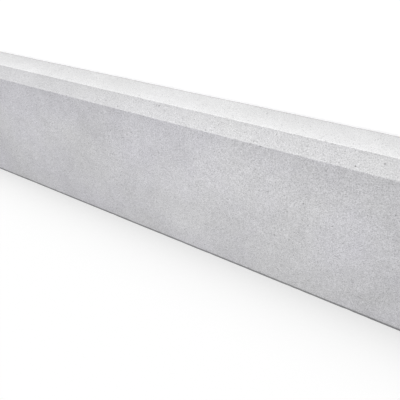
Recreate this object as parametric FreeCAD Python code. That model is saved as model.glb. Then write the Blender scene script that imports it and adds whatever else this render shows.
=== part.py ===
"""Concrete gravel board, cast in one piece, lying on its back face.

The board closes the gap between the ground and a fence panel. In use it stands on its long
ground edge, with its ends in the slots of two posts and the panel on its top edge.

Frame, in millimetres: the origin is at the centre of the back face, which lies on the floor.
  +X  runs along the board
  -Y  points to the top edge, which has the weather chamfer, and +Y to the ground edge
  +Z  points out of the fair face, the face that shows in the fence
"""

import FreeCAD
import Part

import math
import os

from FreeCAD import Vector

# Driving sizes of the board
LENGTH = 1830.0           # between the two ends: six feet
WIDTH = 150.0             # from the ground edge to the top edge: six inches
THICKNESS = 50.0          # from the back face to the fair face
CHAMFER = 11.0            # both legs of the weather chamfer
LONG_ARRIS_RADIUS = 4.0   # eased corners along the other three long edges
CREASE_RADIUS = 1.5       # the two softened lines where the chamfer meets its faces
END_ARRIS_RADIUS = 1.2    # eased corners round each end

PARTS_FOLDER = "parts"
TOLERANCE = 1e-6
CUBIC_MM_PER_LITRE = 1e6


def section_corners():
    """The sharp corners of the cross-section at the board's near end, as (point, rounding radius)."""
    top_edge = -WIDTH / 2
    ground_edge = WIDTH / 2
    end = -LENGTH / 2
    return [
        (Vector(end, top_edge, 0), LONG_ARRIS_RADIUS),
        (Vector(end, ground_edge, 0), LONG_ARRIS_RADIUS),
        (Vector(end, ground_edge, THICKNESS), LONG_ARRIS_RADIUS),
        (Vector(end, top_edge + CHAMFER, THICKNESS), CREASE_RADIUS),
        (Vector(end, top_edge, THICKNESS - CHAMFER), CREASE_RADIUS),
    ]


def rounded_corner(before, corner, after, radius):
    """The arc of that radius in the corner, as its start, its middle and its end."""
    back = (before - corner).normalize()
    ahead = (after - corner).normalize()
    half_angle = back.getAngle(ahead) / 2
    setback = radius / math.tan(half_angle)
    bisector = (back + ahead).normalize()
    centre = corner + bisector * (radius / math.sin(half_angle))
    return corner + back * setback, centre - bisector * radius, corner + ahead * setback


def section_face():
    """The cross-section: five straight sides, and an arc at each corner."""
    corners = section_corners()
    count = len(corners)
    arcs = []
    for index, (corner, radius) in enumerate(corners):
        before = corners[index - 1][0]
        after = corners[(index + 1) % count][0]
        arcs.append(rounded_corner(before, corner, after, radius))
    edges = []
    for index, (start, middle, end) in enumerate(arcs):
        following_start = arcs[(index + 1) % count][0]
        edges.append(Part.Arc(start, middle, end).toShape())
        edges.append(Part.LineSegment(end, following_start).toShape())
    return Part.Face(Part.Wire(edges))


def edges_round_the_ends(board):
    """The edges that lie wholly in one of the two end planes."""
    found = []
    for edge in board.Edges:
        box = edge.BoundBox
        in_one_plane = box.XLength < TOLERANCE
        at_an_end = abs(abs(box.Center.x) - LENGTH / 2) < TOLERANCE
        if in_one_plane and at_an_end:
            found.append(edge)
    return found


def gravel_board():
    """The whole board: its section run along its length, with the ends' corners eased."""
    board = section_face().extrude(Vector(LENGTH, 0, 0))
    return board.makeFillet(END_ARRIS_RADIUS, edges_round_the_ends(board))


def main():
    os.makedirs(PARTS_FOLDER, exist_ok=True)
    board = gravel_board()
    board.exportStep(os.path.join(PARTS_FOLDER, "gravel_board.step"))
    print(f"gravel_board: valid {board.isValid()}, {len(board.Solids)} solid, "
          f"{board.Volume / CUBIC_MM_PER_LITRE:.3f} litres, {board.BoundBox}")


main()
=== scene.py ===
"""Looks of a concrete gravel board that lies on its back face, and the studio round it.

Sizes are in metres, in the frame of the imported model: +X runs along the board, -Y points to its
top edge with the weather chamfer, +Y to its ground edge, and +Z out of its fair face.
"""

import math
import random

import bpy
import numpy as np
from bpy.props import FloatProperty, FloatVectorProperty, IntProperty, PointerProperty
from mathutils import Matrix, Vector, noise


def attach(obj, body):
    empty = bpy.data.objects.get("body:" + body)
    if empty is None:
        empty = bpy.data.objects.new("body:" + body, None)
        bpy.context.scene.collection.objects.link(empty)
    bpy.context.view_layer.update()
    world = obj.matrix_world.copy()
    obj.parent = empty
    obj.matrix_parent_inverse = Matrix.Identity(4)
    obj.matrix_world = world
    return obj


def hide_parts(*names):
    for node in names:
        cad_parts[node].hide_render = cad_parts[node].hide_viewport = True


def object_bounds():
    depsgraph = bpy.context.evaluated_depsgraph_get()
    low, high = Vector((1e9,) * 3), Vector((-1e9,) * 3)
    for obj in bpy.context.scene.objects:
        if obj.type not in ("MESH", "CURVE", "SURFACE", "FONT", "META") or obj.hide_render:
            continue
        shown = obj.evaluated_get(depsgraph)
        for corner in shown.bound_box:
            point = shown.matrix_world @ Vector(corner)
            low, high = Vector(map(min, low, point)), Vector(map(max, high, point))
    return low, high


bl_info = {
    "name": "Concrete Gravel Board",
    "version": (1, 0, 0),
    "blender": (4, 5, 0),
    "location": "View3D > Sidebar > Gravel Board",
    "description": "Casts a pored, mottled concrete gravel board and sets it in a plain studio",
    "category": "Object",
}

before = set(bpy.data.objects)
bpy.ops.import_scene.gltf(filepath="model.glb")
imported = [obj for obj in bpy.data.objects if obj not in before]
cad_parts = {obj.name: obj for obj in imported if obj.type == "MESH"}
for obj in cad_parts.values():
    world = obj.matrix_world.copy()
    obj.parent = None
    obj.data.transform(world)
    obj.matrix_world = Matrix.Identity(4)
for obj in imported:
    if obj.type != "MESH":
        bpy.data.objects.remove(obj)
CAD_LOW, CAD_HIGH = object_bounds()

BODY = "root"
NODE = "gravel_board"
BAKE_MAP = "OFBake"
MM = 0.001


# ---------------------------------------------------------------- settings


class BoardSizes(bpy.types.PropertyGroup):
    """The section's small sizes, and how fine the mesh is."""

    chamfer: FloatProperty(
        name="Chamfer", description="Both legs of the weather chamfer",
        default=11 * MM, min=0, unit="LENGTH")
    long_arris: FloatProperty(
        name="Long arris", description="Radius of the eased corners along the board",
        default=4 * MM, min=0, unit="LENGTH")
    crease: FloatProperty(
        name="Crease", description="Radius of the two soft lines beside the chamfer",
        default=1.5 * MM, min=0, unit="LENGTH")
    end_arris: FloatProperty(
        name="End arris", description="Radius of the eased corners round each end",
        default=1.2 * MM, min=0, unit="LENGTH")
    cell_length: FloatProperty(
        name="Cell length", description="Length of the mesh's cells along the board",
        default=5 * MM, min=1 * MM, unit="LENGTH")


class CastRelief(bpy.types.PropertyGroup):
    """What casting leaves on the surface. All of it goes inward from the true section."""

    wave_depth: FloatProperty(
        name="Wave depth", description="Depth of the broad unevenness of the faces",
        default=0.25 * MM, min=0, unit="LENGTH")
    wave_size: FloatProperty(
        name="Wave size", description="Width of the broad unevenness",
        default=55 * MM, min=1 * MM, unit="LENGTH")
    nick_depth: FloatProperty(
        name="Nick depth", description="Depth of the small losses along the corners",
        default=0.55 * MM, min=0, unit="LENGTH")
    nick_size: FloatProperty(
        name="Nick size", description="Length of the small losses",
        default=6 * MM, min=1 * MM, unit="LENGTH")
    pores: IntProperty(
        name="Pores", description="Number of air holes over the whole board",
        default=2600, min=0)
    smallest_pore: FloatProperty(
        name="Smallest pore", description="Radius of the smallest air holes",
        default=0.25 * MM, min=0, unit="LENGTH")
    largest_pore: FloatProperty(
        name="Largest pore", description="Radius of the largest air holes",
        default=0.8 * MM, min=0, unit="LENGTH")
    seed: IntProperty(
        name="Seed", description="Another number scatters the pores another way", default=7)


class ConcreteLooks(bpy.types.PropertyGroup):
    """The concrete's colours, how strongly and how finely it is marked, and the light and shade
    painted on it.
    """

    grey: FloatVectorProperty(
        name="Grey", description="Colour of the neutral cement", subtype="COLOR",
        default=(0.625, 0.625, 0.625), min=0, max=1)
    lilac: FloatVectorProperty(
        name="Lilac", description="Colour of the cooler clouds", subtype="COLOR",
        default=(0.618, 0.613, 0.646), min=0, max=1)
    # In part painted light: the drifts' shift puts a lighter stretch in the middle of the camera's
    # view.
    drifts_and_light_pool: FloatProperty(
        name="Drifts", description="How much the long stretches differ in tone",
        default=0.32, min=0, subtype="FACTOR")
    drift_size: FloatProperty(
        name="Drift size", description="Size of the long stretches",
        default=300 * MM, min=1 * MM, unit="LENGTH")
    clouds: FloatProperty(
        name="Clouds", description="How much the clouds darken and lighten",
        default=0.48, min=0, subtype="FACTOR")
    cloud_size: FloatProperty(
        name="Cloud size", description="Size of the largest clouds of tone and of tint",
        default=90 * MM, min=1 * MM, unit="LENGTH")
    grain: FloatProperty(
        name="Grain", description="How much the sand grains darken and lighten",
        default=1.65, min=0)
    grain_size: FloatProperty(
        name="Grain size", description="Size of the coarse sand grains",
        default=3.2 * MM, min=0.1 * MM, unit="LENGTH")
    sand_size: FloatProperty(
        name="Sand size", description="Size of the fine sand grains",
        default=0.85 * MM, min=0.1 * MM, unit="LENGTH")
    specks: FloatProperty(
        name="Specks", description="How dark the pinholes between the grains are",
        default=0.32, min=0, max=1, subtype="FACTOR")
    speck_size: FloatProperty(
        name="Speck size", description="Spacing of the pinholes",
        default=1.4 * MM, min=0.1 * MM, unit="LENGTH")
    # Painted shade: the air holes are darkened more the deeper they go.
    pore_shade: FloatProperty(
        name="Pore shade", description="How dark the dust in the air holes is",
        default=0.3, min=0, max=1, subtype="FACTOR")
    # Painted shadow: a dark line along the ground edge's corner, standing in for an upright board's
    # contact shadow.
    painted_corner_shadow: FloatProperty(
        name="Corner damp", description="How dark the damp corner of the ground edge is",
        default=0.52, min=0, max=1, subtype="FACTOR")
    waver: FloatProperty(
        name="Waver", description="How far the marks along the creases wander",
        default=0.6 * MM, min=0, unit="LENGTH")
    roughness: FloatProperty(
        name="Roughness", description="Mean roughness of the surface",
        default=0.88, min=0, max=1, subtype="FACTOR")
    bump_height: FloatProperty(
        name="Bump height", description="Height of the sand grains",
        default=0.25 * MM, min=0, unit="LENGTH")


class StudioStage(bpy.types.PropertyGroup):
    """The floor, the light, and the camera as it stands before the upright board."""

    floor: FloatVectorProperty(
        name="Floor", description="Colour of the floor", subtype="COLOR",
        default=(0.80, 0.80, 0.80), min=0, max=1)
    floor_seen: FloatVectorProperty(
        name="Floor seen", description="Colour in which the camera sees the lit floor",
        subtype="COLOR", default=(0.70, 0.70, 0.70), min=0, max=1)
    glow_by_ground: FloatProperty(
        name="Glow by ground edge", description="White that is seen on the floor on that side",
        default=0.35, min=0, max=1, subtype="FACTOR")
    glow_by_top: FloatProperty(
        name="Glow by top edge", description="White that is seen on the floor on that side",
        default=0.41, min=0, max=1, subtype="FACTOR")
    sky: FloatProperty(
        name="Sky", description="Strength of the even light from all round",
        default=0.65, min=0)
    key: FloatProperty(
        name="Key", description="Strength of the soft light on the top edge's side",
        default=0.60, min=0)
    key_height: FloatProperty(
        name="Key height", description="Angle of the key light above the floor",
        default=math.radians(28), subtype="ANGLE")
    key_turn: FloatProperty(
        name="Key turn", description="Angle of the key light round from the board's middle",
        default=math.radians(12), subtype="ANGLE")
    key_softness: FloatProperty(
        name="Key softness", description="How wide the key light looks from the board",
        default=math.radians(32), subtype="ANGLE")
    lens: FloatProperty(
        name="Lens", description="Focal length of the camera, in millimetres",
        default=34.2, min=1)
    along: FloatProperty(
        name="Along", description="Where along the board the camera stands",
        default=-0.21, unit="LENGTH")
    stand_off: FloatProperty(
        name="Stand-off", description="Distance of the camera from the fair face's plane",
        default=0.2506, unit="LENGTH")
    height: FloatProperty(
        name="Height", description="Height of the camera over the ground edge",
        default=0.2790, unit="LENGTH")
    tilt: FloatProperty(
        name="Tilt", description="How far the camera looks down",
        default=math.radians(36.13), subtype="ANGLE")
    turn: FloatProperty(
        name="Turn", description="How far the camera turns to look along the board",
        default=math.radians(30.33), subtype="ANGLE")


class GravelBoardSettings(bpy.types.PropertyGroup):
    """All settings of the board and its studio."""

    sizes: PointerProperty(type=BoardSizes)
    relief: PointerProperty(type=CastRelief)
    looks: PointerProperty(type=ConcreteLooks)
    stage: PointerProperty(type=StudioStage)


# ---------------------------------------------------------------- shader maths


class Signal:
    """An output socket that takes part in Python expressions, adding a Math node for each."""

    def __init__(self, wiring, socket):
        self.wiring = wiring
        self.socket = socket

    def maths(self, operation, first, second):
        return self.wiring.add("ShaderNodeMath", {"operation": operation}, {0: first, 1: second})

    def __add__(self, other):
        return self.maths("ADD", self, other)

    def __radd__(self, other):
        return self.maths("ADD", other, self)

    def __sub__(self, other):
        return self.maths("SUBTRACT", self, other)

    def __rsub__(self, other):
        return self.maths("SUBTRACT", other, self)

    def __mul__(self, other):
        return self.maths("MULTIPLY", self, other)

    def __rmul__(self, other):
        return self.maths("MULTIPLY", other, self)


class Wiring:
    """Fills one node tree."""

    RAMP_TOP = 1.5

    def __init__(self, tree):
        self.tree = tree
        tree.nodes.clear()

    def add(self, kind, settings=None, inputs=None, output=0):
        """Adds a node: its settings are set first, and then its sockets' values or links."""
        node = self.tree.nodes.new(kind)
        for name, value in (settings or {}).items():
            if name == "stops":
                self.set_stops(node.color_ramp, value)
            else:
                setattr(node, name, value)
        for name, value in (inputs or {}).items():
            if isinstance(value, Signal):
                self.tree.links.new(value.socket, node.inputs[name])
            else:
                node.inputs[name].default_value = value
        return Signal(self, node.outputs[output]) if node.outputs else None

    @staticmethod
    def set_stops(colour_ramp, stops):
        """Gives a colour ramp these stops of (position, grey)."""
        while len(colour_ramp.elements) < len(stops):
            colour_ramp.elements.new(1.0)
        for stop, (position, grey) in zip(colour_ramp.elements, stops):
            stop.position = position
            stop.color = (grey, grey, grey, 1)

    def attribute(self, name):
        """A number that the mesh holds under that name."""
        return self.add("ShaderNodeAttribute", {"attribute_name": name}, output="Fac")

    def noise(self, place, size, detail, roughness=0.5, start=None):
        """Fractal noise from 0 to 1 with features up to that size. A start shifts it."""
        if start:
            place = self.add("ShaderNodeVectorMath", {"operation": "ADD"}, {0: place, 1: start})
        return self.add("ShaderNodeTexNoise", None, {
            "Vector": place, "Scale": 1 / size, "Detail": detail, "Roughness": roughness})

    def step(self, value, start, end):
        """0 up to the start, 1 from the end, and smooth between. An end below it turns it round."""
        return self.add("ShaderNodeMapRange", {"interpolation_type": "SMOOTHSTEP"}, {
            "Value": value, "From Min": start, "From Max": end})

    def ramp(self, value, span, stops):
        """Runs through stops of (share of the span, result) as the value goes through the span.

        A colour ramp holds nothing above 1, so it holds each result as a share of RAMP_TOP.
        """
        share = self.add("ShaderNodeMapRange", None, {
            "Value": value, "From Min": span[0], "From Max": span[1]})
        held = [(position, result / self.RAMP_TOP) for position, result in stops]
        return self.add("ShaderNodeValToRGB", {"stops": held}, {"Fac": share}) * self.RAMP_TOP

    def mix_colours(self, share, first, second):
        """Mixes two colours. The Mix node's sockets share their names, so these go by place."""
        return self.add("ShaderNodeMix", {"data_type": "RGBA"}, {0: share, 6: first, 7: second}, 2)

    def scale_colour(self, colour, by):
        """A colour made that many times as light."""
        return self.add("ShaderNodeVectorMath", {"operation": "SCALE"}, {0: colour, "Scale": by})


def new_material(name):
    """A material, and the wiring that fills its emptied node tree."""
    material = bpy.data.materials.new(name)
    material.use_nodes = True
    return material, Wiring(material.node_tree)


# ---------------------------------------------------------------- the section


class Outline:
    """The section's outline, walked once round from the middle of the hidden top corner.

    The walk goes along the back face, up the ground edge, back along the fair face, over the
    chamfer and down the top edge. At each point, places and normals hold (y, z), and lap is the
    way walked to it. flat tells whether the cell after it is on a flat side. spans holds the lap
    at which each flat side starts and ends, and turns the four points that become the corners
    of the caps' nets.
    """

    ARRIS_CELLS = 6
    CREASE_CELLS = 2
    CHAMFER_CELLS = 4
    TOP_CELLS = 8
    FAIR_CELLS = 32

    def __init__(self, sizes):
        self.places, self.normals, self.lap, self.flat = [], [], [], []
        self.spans = {}
        self.length = 0.0
        low, high, chamfer = CAD_LOW, CAD_HIGH, sizes.chamfer
        corners = [
            (Vector((low.y, low.z)), sizes.long_arris),
            (Vector((high.y, low.z)), sizes.long_arris),
            (Vector((high.y, high.z)), sizes.long_arris),
            (Vector((low.y + chamfer, high.z)), sizes.crease),
            (Vector((low.y, high.z - chamfer)), sizes.crease),
        ]
        hidden, ground, foot, lower, ridge = (
            self.rounding(corners, index) for index in range(len(corners)))
        half_arris, half_chamfer = self.ARRIS_CELLS // 2, self.CHAMFER_CELLS // 2
        # Opposite sides of the caps' nets have as many cells as each other.
        back_cells = self.FAIR_CELLS + self.CREASE_CELLS + half_chamfer - half_arris
        ground_cells = self.TOP_CELLS + self.CREASE_CELLS + half_chamfer - half_arris

        self.arc(hidden, self.ARRIS_CELLS, half_arris, self.ARRIS_CELLS)
        self.side("back", hidden, ground, back_cells)
        self.arc(ground, self.ARRIS_CELLS, 0, half_arris)
        ground_turn = len(self.places)
        self.arc(ground, self.ARRIS_CELLS, half_arris, self.ARRIS_CELLS)
        self.side("ground", ground, foot, ground_cells)
        self.arc(foot, self.ARRIS_CELLS, 0, half_arris)
        foot_turn = len(self.places)
        self.arc(foot, self.ARRIS_CELLS, half_arris, self.ARRIS_CELLS)
        self.side("fair", foot, lower, self.FAIR_CELLS)
        self.arc(lower, self.CREASE_CELLS, 0, self.CREASE_CELLS)
        chamfer_turn = len(self.places) + half_chamfer
        self.side("chamfer", lower, ridge, self.CHAMFER_CELLS)
        self.arc(ridge, self.CREASE_CELLS, 0, self.CREASE_CELLS)
        self.side("top", ridge, hidden, self.TOP_CELLS)
        self.arc(hidden, self.ARRIS_CELLS, 0, half_arris)

        self.lap.append(self.length)
        self.count = len(self.places)
        self.turns = [0, ground_turn, foot_turn, chamfer_turn, self.count]
        self.places = np.array(self.places)
        self.normals = np.array(self.normals)

    @staticmethod
    def rounding(corners, index):
        """A corner's centre and radius, and the angles at which its arc starts and ends."""
        corner, radius = corners[index]
        back = (corners[index - 1][0] - corner).normalized()
        ahead = (corners[(index + 1) % len(corners)][0] - corner).normalized()
        half = back.angle(ahead) / 2
        centre = corner + (back + ahead).normalized() * (radius / math.sin(half))
        outward = corner - centre
        middle = math.atan2(outward.y, outward.x)
        spread = math.pi / 2 - half
        return centre, radius, middle - spread, middle + spread

    def add(self, place, normal, flat):
        """The next point of the walk."""
        self.places.append(tuple(place))
        self.normals.append(tuple(normal))
        self.lap.append(self.length)
        self.flat.append(flat)

    def arc(self, rounding, cells, first, last):
        """Cells first to last of a rounding that has that many cells."""
        centre, radius, start, end = rounding
        step = (end - start) / cells
        for index in range(first, last):
            angle = start + step * index
            normal = Vector((math.cos(angle), math.sin(angle)))
            self.add(centre + normal * radius, normal, False)
            self.length += radius * step

    def side(self, name, before, after, cells):
        """A flat side from the end of one rounding to the start of the next."""
        normal = Vector((math.cos(before[3]), math.sin(before[3])))
        start = before[0] + normal * before[1]
        end = after[0] + normal * after[1]
        first = self.length
        for index in range(cells):
            self.add(start.lerp(end, index / cells), normal, True)
            self.length += (end - start).length / cells
        self.spans[name] = (first, self.length)


# ---------------------------------------------------------------- the board's mesh


class Cell:
    """A cell between two rings of vertices, in which points go by their shares of its sides."""

    def __init__(self, places, laps, normal):
        self.places, self.laps = places, laps
        self.inward = -np.array((0.0, *normal))
        self.length = np.linalg.norm(places[3] - places[0])
        self.width = np.linalg.norm(places[1] - places[0])

    def place(self, along, across, depth):
        """The point at those shares of the cell's length and width, and that deep in it."""
        near, near_next, far_next, far = self.places
        start = near * (1 - across) + near_next * across
        end = far * (1 - across) + far_next * across
        return start * (1 - along) + end * along + self.inward * depth

    def lap(self, across):
        """The lap at that share of the cell's width."""
        return self.laps[0] * (1 - across) + self.laps[1] * across


class BoardMesh:
    """Gathers the board's vertices and faces, and what its material reads there.

    Rings of vertices round the section stand along the board, with cells between them and a net
    over each end. face_laps holds the lap at each corner of each face, which is 0 on the caps,
    and face_ends is -1 or 1 on the caps and 0 elsewhere.
    """

    END_ARRIS_CELLS = 3
    SHARP_ANGLE = math.radians(38)
    MAP_GAP = 4 * MM

    # How fast each noise weakens and how much finer it grows from layer to layer, and how many
    # layers it has.
    WAVE_LAYERS = (1, 2, 3)
    NICK_LAYERS = (0.8, 2.1, 3)
    NOISE_START = Vector((3.1, 7.7, 1.9))
    NICK_LIMIT = 0.15

    # An air hole has two steps of its rim to each side of its cell. Its radius is at most
    # CELL_SHARE of the cell's sides, and it stays within CELL_REACH of the middle. The ranges
    # are its breadth over its length, its depth over its radius, and how ragged its rim is.
    # PORE_WALL is the share of the radius and of the depth at the foot of its wall.
    RIM = 8
    SMALL_PORE_LEAN = 3
    CELL_SHARE = 0.36
    CELL_REACH = 0.46
    PORE_OVAL = (0.75, 1.0)
    PORE_DEPTH = (0.6, 1.1)
    PORE_RAGGED = (0.88, 1.0)
    PORE_WALL = (0.74, 0.7)

    def __init__(self, sizes, relief):
        self.sizes, self.relief = sizes, relief
        self.outline = Outline(sizes)
        self.dice = random.Random(relief.seed)
        self.vertices, self.pore_depths = [], []
        self.faces, self.face_laps, self.face_ends = [], [], []
        self.stations = self.sections_along()
        self.add_rings()
        self.add_skin()
        self.add_cap(0, -1)
        self.add_cap(len(self.stations) - 1, 1)

    def sections_along(self):
        """(x, inset) of each ring: an eased corner, the even stretch, and the other corner."""
        radius, cells = self.sizes.end_arris, self.END_ARRIS_CELLS
        middle, half = (CAD_LOW.x + CAD_HIGH.x) / 2, (CAD_HIGH.x - CAD_LOW.x) / 2
        even_cells = round(2 * (half - radius) / self.sizes.cell_length)
        eased = []
        for index in range(1, cells + 1):
            angle = math.pi / 2 * index / cells
            reach = half - radius + radius * math.sin(angle)
            eased.append((reach, radius * (1 - math.cos(angle))))
        left = [(middle - reach, inset) for reach, inset in reversed(eased)]
        even = [(x, 0.0) for x in np.linspace(
            middle - half + radius, middle + half - radius, even_cells + 1)]
        return left + even + [(middle + reach, inset) for reach, inset in eased]

    def sunk(self, place, at_corner):
        """How far below the true surface the cast one lies: broad waves, and nicks at corners."""
        wave_at = Vector(place) / self.relief.wave_size + self.NOISE_START
        wave = noise.fractal(wave_at, *self.WAVE_LAYERS)
        depth = self.relief.wave_depth * min(max((1 + wave) / 2, 0), 1)
        if at_corner:
            nick_at = Vector(place) / self.relief.nick_size + self.NOISE_START
            nick = noise.fractal(nick_at, *self.NICK_LAYERS)
            depth += self.relief.nick_depth * max(nick - self.NICK_LIMIT, 0)
        return depth

    def add_vertex(self, place, pore_depth=0.0):
        """A vertex, and how deep in an air hole it lies: 0 at the rim and 1 at the bottom."""
        self.vertices.append(tuple(place))
        self.pore_depths.append(pore_depth)
        return len(self.vertices) - 1

    def add_face(self, corners, laps, end=0):
        """A face between those vertices, with the lap at each, on the skin or on one end."""
        self.faces.append(corners)
        self.face_laps.append(laps)
        self.face_ends.append(end)

    def add_rings(self):
        """A ring of vertices round the section at each station."""
        outline = self.outline
        for x, inset in self.stations:
            for index in range(outline.count):
                on_flat = outline.flat[index] and outline.flat[index - 1]
                y, z = outline.places[index] - outline.normals[index] * inset
                depth = self.sunk((x, y, z), inset > 0 or not on_flat)
                y, z = np.array((y, z)) - outline.normals[index] * depth
                self.add_vertex((x, y, z))

    def ring_vertex(self, station, index):
        """The vertex at that point of the outline, in the ring at that station."""
        return station * self.outline.count + index % self.outline.count

    def add_skin(self):
        """The cells between the rings, some of them with an air hole in them."""
        outline = self.outline
        spans = len(self.stations) - 1
        even_spans = range(self.END_ARRIS_CELLS, spans - self.END_ARRIS_CELLS)
        flat_cells = [(station, index) for station in even_spans
                      for index in range(outline.count) if outline.flat[index]]
        pored = set(self.dice.sample(flat_cells, min(self.relief.pores, len(flat_cells))))
        for station in range(spans):
            for index in range(outline.count):
                corners = [self.ring_vertex(station, index), self.ring_vertex(station, index + 1),
                           self.ring_vertex(station + 1, index + 1),
                           self.ring_vertex(station + 1, index)]
                near, far = outline.lap[index], outline.lap[index + 1]
                laps = [near, far, far, near]
                if (station, index) in pored:
                    self.add_pore(corners, laps, outline.normals[index])
                else:
                    self.add_face(corners, laps)

    def add_pore(self, corners, laps, normal):
        """An air hole in one cell: a ragged oval rim, a steep wall and a rounded bottom."""
        cell = Cell([np.array(self.vertices[corner]) for corner in corners], laps, normal)
        dice, relief = self.dice, self.relief
        spread = relief.largest_pore - relief.smallest_pore
        radius = relief.smallest_pore + spread * dice.random() ** self.SMALL_PORE_LEAN
        radius = min(radius, self.CELL_SHARE * cell.length, self.CELL_SHARE * cell.width)
        along = 0.5 + (self.CELL_REACH - radius / cell.length) * dice.uniform(-1, 1)
        across = 0.5 + (self.CELL_REACH - radius / cell.width) * dice.uniform(-1, 1)
        oval, lean = dice.uniform(*self.PORE_OVAL), dice.uniform(0, math.pi)
        depth = radius * dice.uniform(*self.PORE_DEPTH)

        def point(step_along, step_across, sunk):
            """A vertex that far from the air hole's middle, with its lap."""
            u, v = along + step_along / cell.length, across + step_across / cell.width
            return self.add_vertex(cell.place(u, v, depth * sunk), sunk), cell.lap(v)

        rim, wall = [], []
        for ring, share, sunk in ((rim, 1.0, 0.0), (wall, *self.PORE_WALL)):
            for index in range(self.RIM):
                angle = math.tau * index / self.RIM
                reach = radius * share * dice.uniform(*self.PORE_RAGGED)
                reach *= oval + (1 - oval) * math.cos(angle - lean) ** 2
                ring.append(point(reach * math.cos(angle), reach * math.sin(angle), sunk))
        bottom = point(0, 0, 1.0)

        # The cell's corners, from the far one at the end of its width, against the rim's way.
        framing = [(corners[index], laps[index]) for index in (2, 3, 0, 1)]
        for turn in range(4):
            here, there = framing[turn], framing[(turn + 1) % 4]
            first, between, last = (rim[(1 - 2 * turn - step) % self.RIM] for step in range(3))
            self.add_triangle(between, first, here)
            self.add_triangle(there, between, here)
            self.add_triangle(last, between, there)
        for index in range(self.RIM):
            after = (index + 1) % self.RIM
            self.add_triangle(wall[index], rim[after], rim[index])
            self.add_triangle(wall[index], wall[after], rim[after])
            self.add_triangle(bottom, wall[after], wall[index])

    def add_triangle(self, *points):
        """A triangle of three (vertex, lap)."""
        self.add_face([vertex for vertex, lap in points], [lap for vertex, lap in points])

    def add_cap(self, station, outward):
        """The flat end: a net stretched between the four parts of the last ring."""
        turns = self.outline.turns
        back, ground, fair, top = (
            [self.ring_vertex(station, index) for index in range(first, last + 1)]
            for first, last in zip(turns, turns[1:]))
        net = np.zeros((len(back), len(ground)), int)
        net[:, 0], net[-1, :], net[:, -1], net[0, :] = back, ground, fair[::-1], top[::-1]
        edge = {vertex: np.array(self.vertices[vertex]) for vertex in {*back, *ground, *fair, *top}}
        last_i, last_j = len(back) - 1, len(ground) - 1
        for i in range(1, last_i):
            for j in range(1, last_j):
                u, v = i / last_i, j / last_j
                place = ((1 - v) * edge[net[i, 0]] + v * edge[net[i, -1]]
                         + (1 - u) * edge[net[0, j]] + u * edge[net[-1, j]]
                         - (1 - u) * (1 - v) * edge[net[0, 0]] - u * v * edge[net[-1, -1]]
                         - u * (1 - v) * edge[net[-1, 0]] - (1 - u) * v * edge[net[0, -1]])
                place[0] = self.stations[station][0]
                place[0] -= outward * self.sunk(place, False)
                net[i, j] = self.add_vertex(place)
        for i in range(last_i):
            for j in range(last_j):
                corners = [net[i, j], net[i + 1, j], net[i + 1, j + 1], net[i, j + 1]]
                # Taken backwards at the near end, so that both caps face outward.
                self.add_face([int(corner) for corner in corners[::outward]], [0.0] * 4, outward)

    def build(self, name):
        """The gathered mesh, with its attributes and the map that its textures are baked to."""
        mesh = bpy.data.meshes.new(name)
        mesh.from_pydata(self.vertices, [], self.faces)
        mesh.shade_smooth()
        mesh.set_sharp_from_angle(angle=self.SHARP_ANGLE)
        laps = np.concatenate(self.face_laps)
        self.write(mesh, "lap", "CORNER", laps)
        self.write(mesh, "pore", "POINT", np.array(self.pore_depths))
        self.write_bake_map(mesh, laps)
        return mesh

    @staticmethod
    def write(mesh, name, domain, values):
        """One number for each vertex or face corner, which the material reads by its name."""
        attribute = mesh.attributes.new(name, "FLOAT", domain)
        attribute.data.foreach_set("value", values.astype(np.float32))

    def write_bake_map(self, mesh, laps):
        """The skin unrolled as two lengths, one above the other, with the caps above them."""
        gap = self.MAP_GAP
        corners = [len(face) for face in self.faces]
        places = np.array(self.vertices)[np.concatenate(self.faces)]
        starts = np.concatenate([[0], np.cumsum(corners)[:-1]])
        middles = np.repeat(np.add.reduceat(places[:, 0], starts) / corners, corners)
        ends = np.repeat(self.face_ends, corners)
        half, skin = (CAD_HIGH.x - CAD_LOW.x) / 2, self.outline.length
        far_half = middles > 0
        u = np.where(far_half, places[:, 0], places[:, 0] + half) + gap
        v = laps + np.where(far_half, skin + 2 * gap, gap)
        cap_u = places[:, 1] - CAD_LOW.y + np.where(ends > 0, CAD_HIGH.y - CAD_LOW.y + 2 * gap, gap)
        cap_v = places[:, 2] - CAD_LOW.z + 2 * skin + 3 * gap
        u, v = np.where(ends == 0, u, cap_u), np.where(ends == 0, v, cap_v)
        square = max(half, v.max()) + 2 * gap
        layer = mesh.uv_layers.new(name=BAKE_MAP)
        layer.data.foreach_set("uv", (np.stack([u, v], 1) / square).astype(np.float32).ravel())


# ---------------------------------------------------------------- the concrete


# How light each face is across its width, as (share of the width, tone). The fair face runs from
# the ground edge to the chamfer, the chamfer up to its ridge, and the top edge on to the back.
# Much of it is painted light and shade: the top edge is painted lighter and the chamfer darker, as
# light falls on them; each crease has a painted highlight line on its top edge's side and a painted
# shade line on the other; the fair face is painted darker towards the ground edge, and the top edge
# darker at its back corner.
FAIR_TONES_AND_SHADING = [
    (0.00, 0.845), (0.10, 0.895), (0.20, 0.920), (0.33, 0.932), (0.52, 0.982), (0.63, 0.995),
    (0.88, 0.965), (0.955, 0.940), (0.982, 0.900), (1.00, 0.840)]
CHAMFER_TONES_AND_SHADING = [
    (0.00, 1.020), (0.06, 0.970), (0.15, 0.930), (0.50, 0.908), (0.80, 0.880), (0.94, 0.840),
    (1.00, 0.810)]
TOP_TONES_AND_SHADING = [
    (0.00, 1.190), (0.03, 1.160), (0.07, 1.120), (0.25, 1.095), (0.45, 1.040), (0.65, 1.020),
    (0.85, 0.990), (0.94, 0.970), (1.00, 0.880)]

# How strongly each marking shows on the fair face, on the chamfer and on the top edge. The back
# and the ground edge are marked as the fair face is.
DRIFTS_BY_FACE = (1, 1.2, 0.6)
CLOUDS_BY_FACE = (1, 0.75, 0.6)
GRAIN_BY_FACE = (1, 0.93, 0.8)
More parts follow.
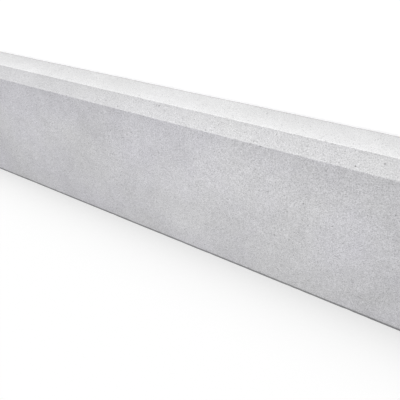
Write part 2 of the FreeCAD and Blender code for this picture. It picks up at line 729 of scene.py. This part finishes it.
# The lilac is painted strongest on the fair face, which the light reaches least, and faintest on
# the top edge, which it reaches most: in part a painted cool cast of shade.
TINT_AND_SHADE_CAST_BY_FACE = (1, 0.4, 0.15)

# How far each broad noise is shifted. The drifts' shift puts a lighter stretch in the middle of
# the camera's view: in part a painted pool of light.
DRIFT_START = (1.10, -0.03, -0.78)
CLOUD_START = (-0.06, 0.44, -1.96)
TINT_START = (1.36, 0.10, 1.91)

# The levels of noise between which the tint sets in and between which a pinhole darkens, the
# least share of the tint, what the coarse grains add to the tone of the fine ones, and how much
# the roughness changes from grain to grain.
TINT_LEVELS = (0.34, 0.66)
PINHOLE_LEVELS = (0.67, 0.74)
LEAST_TINT = 0.38
COARSE_SHARE = 0.1
ROUGHNESS_SPREAD = 0.2


class Faces:
    """Masks and painted light and shade over the board's faces, worked out from the way round the
    section.
    """

    # Half the width over which one face gives way to the next.
    BLUR = 0.35 * MM

    # A painted shadow darkens the ground edge's corner, standing in for an upright board's contact
    # shadow. It sets in between these ways past the ground edge, and fades between these ways on to
    # the fair face.
    SHADOW_STARTS = (2.0 * MM, 3.5 * MM)
    SHADOW_ENDS = (0.4 * MM, 1.0 * MM)

    def __init__(self, wiring, lap, outline):
        ground, fair = outline.spans["ground"], outline.spans["fair"]
        chamfer, top = outline.spans["chamfer"], outline.spans["top"]
        lower, ridge = (fair[1] + chamfer[0]) / 2, (chamfer[1] + top[0]) / 2
        self.past_lower = wiring.step(lap, lower - self.BLUR, lower + self.BLUR)
        self.past_ridge = wiring.step(lap, ridge - self.BLUR, ridge + self.BLUR)
        self.fair_tone_and_shading = wiring.ramp(lap, (fair[0], lower), FAIR_TONES_AND_SHADING)
        self.chamfer_tone_and_shading = wiring.ramp(lap, (lower, ridge), CHAMFER_TONES_AND_SHADING)
        self.top_tone_and_shading = wiring.ramp(lap, (ridge, top[1]), TOP_TONES_AND_SHADING)
        shadowed = wiring.step(lap, ground[1] + self.SHADOW_STARTS[0], ground[1] + self.SHADOW_STARTS[1])
        still_shadowed = wiring.step(lap, fair[0] + self.SHADOW_ENDS[1], fair[0] + self.SHADOW_ENDS[0])
        self.painted_foot_shadow = shadowed * still_shadowed

    def choose(self, fair, chamfer, top):
        """The value that belongs to each face, with a crisp step at each crease."""
        return fair + (chamfer - fair) * self.past_lower + (top - chamfer) * self.past_ridge

    def tone(self):
        """How light the concrete is there, with its painted light and shade, before its clouds and
        grain.
        """
        return self.choose(self.fair_tone_and_shading, self.chamfer_tone_and_shading, self.top_tone_and_shading)


def concrete_material(looks, outline):
    """Mould-cast concrete: broad clouds, sand grain, pinholes, and painted light and shade, also in
    the air holes.
    """
    material, wiring = new_material("cast_concrete")
    place = wiring.add("ShaderNodeTexCoord", output="Object")
    drifts_and_light_pool = wiring.noise(place, looks.drift_size, detail=1, start=DRIFT_START) - 0.5
    clouds = wiring.noise(
        place, looks.cloud_size, detail=5, roughness=0.78, start=CLOUD_START) - 0.5
    tints = wiring.noise(
        place, looks.cloud_size, detail=4, roughness=0.55, start=TINT_START)
    grain = wiring.noise(place, looks.grain_size, detail=2, roughness=0.6) - 0.5
    sand = wiring.noise(place, looks.sand_size, detail=2, roughness=0.9) - 0.5
    specks = wiring.noise(place, looks.speck_size, detail=1)
    pinholes = wiring.step(specks, *PINHOLE_LEVELS)
    waver = wiring.noise(place, size=7 * MM, detail=3) - 0.5
    faces = Faces(wiring, wiring.attribute("lap") + waver * looks.waver, outline)

    cloud_tone = (1 + clouds * looks.clouds * faces.choose(*CLOUDS_BY_FACE)
                  + drifts_and_light_pool * looks.drifts_and_light_pool * faces.choose(*DRIFTS_BY_FACE))
    sand_tone = (sand + grain * COARSE_SHARE) * faces.choose(*GRAIN_BY_FACE)
    grain_tone = 1 + sand_tone * looks.grain
    # Dark pinholes, with painted shade in the air holes and a painted shadow along the ground
    # edge's corner.
    marks_and_painted_shade = ((1 - pinholes * looks.specks)
                  * (1 - wiring.attribute("pore") * looks.pore_shade)
                  * (1 - faces.painted_foot_shadow * looks.painted_corner_shadow))
    tone = faces.tone() * cloud_tone * grain_tone * marks_and_painted_shade

    tint = LEAST_TINT + (1 - LEAST_TINT) * wiring.step(tints, *TINT_LEVELS)
    tint = tint * faces.choose(*TINT_AND_SHADE_CAST_BY_FACE)
    colour = wiring.mix_colours(tint, (*looks.grey, 1), (*looks.lilac, 1))
    normal = wiring.add("ShaderNodeBump", None, {
        "Strength": 0.35, "Distance": looks.bump_height, "Height": grain + sand})
    surface = wiring.add("ShaderNodeBsdfPrincipled", None, {
        "Base Color": wiring.scale_colour(colour, tone),
        "Roughness": looks.roughness + grain * ROUGHNESS_SPREAD,
        "Specular IOR Level": 0.25,
        "Normal": normal})
    wiring.add("ShaderNodeOutputMaterial", None, {"Surface": surface})
    return material


# ---------------------------------------------------------------- the stage


FLOOR_REACH = 8.0
FLOOR_GAP = 0.2 * MM
KEY_DISTANCE = 3.0
NEAR_CLIP = 10 * MM


def seen_directly(wiring):
    """1 on rays from the camera, in reflections and through glass, and 0 on rays that light."""
    camera, glossy, through = (
        wiring.add("ShaderNodeLightPath", output=f"Is {name} Ray")
        for name in ("Camera", "Glossy", "Transmission"))
    return wiring.add("ShaderNodeClamp", None, {"Value": camera + glossy + through})


def floor_material(stage):
    """A pale floor that shows white where nothing shades it."""
    material, wiring = new_material("studio_floor")
    plain = wiring.add("ShaderNodeBsdfDiffuse", None, {"Color": (*stage.floor, 1)})
    seen = wiring.add("ShaderNodeBsdfDiffuse", None, {"Color": (*stage.floor_seen, 1)})
    # The floor glows more on the top edge's side: painted light that pales the board's shadow
    # there.
    by_ground, by_top = (
        wiring.add("ShaderNodeEmission", None, {"Color": (1, 1, 1, 1), "Strength": strength})
        for strength in (stage.glow_by_ground, stage.glow_by_top))
    place = wiring.add("ShaderNodeTexCoord", output="Object")
    across = wiring.add("ShaderNodeSeparateXYZ", None, {"Vector": place}, "Y")
    glow = wiring.add("ShaderNodeMixShader", None, {
        "Fac": wiring.step(across, CAD_HIGH.y, CAD_LOW.y), 1: by_ground, 2: by_top})
    glowing = wiring.add("ShaderNodeAddShader", None, {0: seen, 1: glow})
    surface = wiring.add("ShaderNodeMixShader", None, {
        "Fac": seen_directly(wiring), 1: plain, 2: glowing})
    wiring.add("ShaderNodeOutputMaterial", None, {"Surface": surface})
    return material


def make_floor(stage):
    """A wide sheet just below the board, so that the two never share a plane."""
    level = CAD_LOW.z - FLOOR_GAP
    corners = [(x * FLOOR_REACH, y * FLOOR_REACH, level)
               for x, y in ((-1, -1), (1, -1), (1, 1), (-1, 1))]
    mesh = bpy.data.meshes.new("studio_floor")
    mesh.from_pydata(corners, [], [(0, 1, 2, 3)])
    mesh.materials.append(floor_material(stage))
    floor = bpy.data.objects.new("studio_floor", mesh)
    bpy.context.scene.collection.objects.link(floor)


def make_sky(stage):
    """Even light from all round, which is seen as white."""
    world = bpy.data.worlds.new("studio_sky")
    world.use_nodes = True
    wiring = Wiring(world.node_tree)
    light, white = (
        wiring.add("ShaderNodeBackground", None, {"Color": (1, 1, 1, 1), "Strength": strength})
        for strength in (stage.sky, 1.0))
    surface = wiring.add("ShaderNodeMixShader", None, {
        "Fac": seen_directly(wiring), 1: light, 2: white})
    wiring.add("ShaderNodeOutputWorld", None, {"Surface": surface})
    bpy.context.scene.world = world


def make_key(stage):
    """One wide soft light, low on the top edge's side.

    At a strength of 1 it lights a face square to it as an even sky of strength 1 would.
    """
    light = bpy.data.lights.new("key", "SUN")
    light.energy = stage.key * math.pi
    light.angle = stage.key_softness
    key = bpy.data.objects.new("key", light)
    towards = Vector((
        math.sin(stage.key_turn) * math.cos(stage.key_height),
        -math.cos(stage.key_turn) * math.cos(stage.key_height),
        math.sin(stage.key_height)))
    key.rotation_mode = "QUATERNION"
    key.rotation_quaternion = towards.to_track_quat("Z", "Y")
    key.location = towards * KEY_DISTANCE
    bpy.context.scene.collection.objects.link(key)


def laid_down(vector):
    """A vector of the upright board's frame, turned with the board onto its back.

    In the upright frame X points right, Y away from whoever faces the fair face, and Z up.
    """
    return Vector((-vector.x, -vector.z, -vector.y))


def make_camera(stage):
    """The camera before the upright board, laid down together with it."""
    look = Vector((
        -math.sin(stage.turn) * math.cos(stage.tilt),
        math.cos(stage.turn) * math.cos(stage.tilt),
        -math.sin(stage.tilt)))
    right = Vector((math.cos(stage.turn), math.sin(stage.turn), 0))
    up = right.cross(look)
    foot_of_fair_face = Vector((stage.along, CAD_HIGH.y, CAD_HIGH.z))
    place = foot_of_fair_face + laid_down(Vector((0, -stage.stand_off, stage.height)))
    turned = Matrix([laid_down(axis) for axis in (right, up, -look)]).transposed()
    lens = bpy.data.cameras.new("camera")
    lens.lens = stage.lens
    lens.clip_start = NEAR_CLIP
    camera = bpy.data.objects.new("camera", lens)
    camera.matrix_world = Matrix.Translation(place) @ turned.to_4x4()
    bpy.context.scene.collection.objects.link(camera)
    bpy.context.scene.camera = camera


# ---------------------------------------------------------------- operators and panel


class GRAVELBOARD_OT_cast_board(bpy.types.Operator):
    """Cast the board in place of its plain model, with its relief and its concrete"""

    bl_idname = "gravelboard.cast_board"
    bl_label = "Cast Board"

    def execute(self, context):
        settings = context.scene.gravel_board
        gathered = BoardMesh(settings.sizes, settings.relief)
        mesh = gathered.build("cast_board")
        mesh.materials.append(concrete_material(settings.looks, gathered.outline))
        board = bpy.data.objects.new("cast_board", mesh)
        context.scene.collection.objects.link(board)
        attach(board, BODY)
        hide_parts(NODE)
        return {"FINISHED"}


class GRAVELBOARD_OT_set_stage(bpy.types.Operator):
    """Set the floor, the light and the camera"""

    bl_idname = "gravelboard.set_stage"
    bl_label = "Set Stage"

    def execute(self, context):
        stage = context.scene.gravel_board.stage
        make_floor(stage)
        make_sky(stage)
        make_key(stage)
        make_camera(stage)
        context.scene.view_settings.view_transform = "Standard"
        return {"FINISHED"}


class GRAVELBOARD_PT_panel(bpy.types.Panel):
    """Lists the settings, and the operators that use them"""

    bl_idname = "GRAVELBOARD_PT_panel"
    bl_label = "Gravel Board"
    bl_space_type = "VIEW_3D"
    bl_region_type = "UI"
    bl_category = "Gravel Board"

    def draw(self, context):
        settings = context.scene.gravel_board
        self.list_group(settings.sizes, "Sizes")
        self.list_group(settings.relief, "Relief")
        self.list_group(settings.looks, "Concrete")
        self.layout.operator(GRAVELBOARD_OT_cast_board.bl_idname)
        self.list_group(settings.stage, "Stage")
        self.layout.operator(GRAVELBOARD_OT_set_stage.bl_idname)

    def list_group(self, group, title):
        """A titled box with one row for each setting of the group."""
        box = self.layout.box()
        box.label(text=title)
        for name in group.__annotations__:
            box.prop(group, name)


CLASSES = (
    BoardSizes, CastRelief, ConcreteLooks, StudioStage, GravelBoardSettings,
    GRAVELBOARD_OT_cast_board, GRAVELBOARD_OT_set_stage, GRAVELBOARD_PT_panel)


def register():
    for cls in CLASSES:
        bpy.utils.register_class(cls)
    bpy.types.Scene.gravel_board = PointerProperty(type=GravelBoardSettings)


def unregister():
    del bpy.types.Scene.gravel_board
    for cls in reversed(CLASSES):
        bpy.utils.unregister_class(cls)


def main():
    register()
    bpy.ops.gravelboard.set_stage()
    bpy.ops.gravelboard.cast_board()


if __name__ == "__main__":
    main()
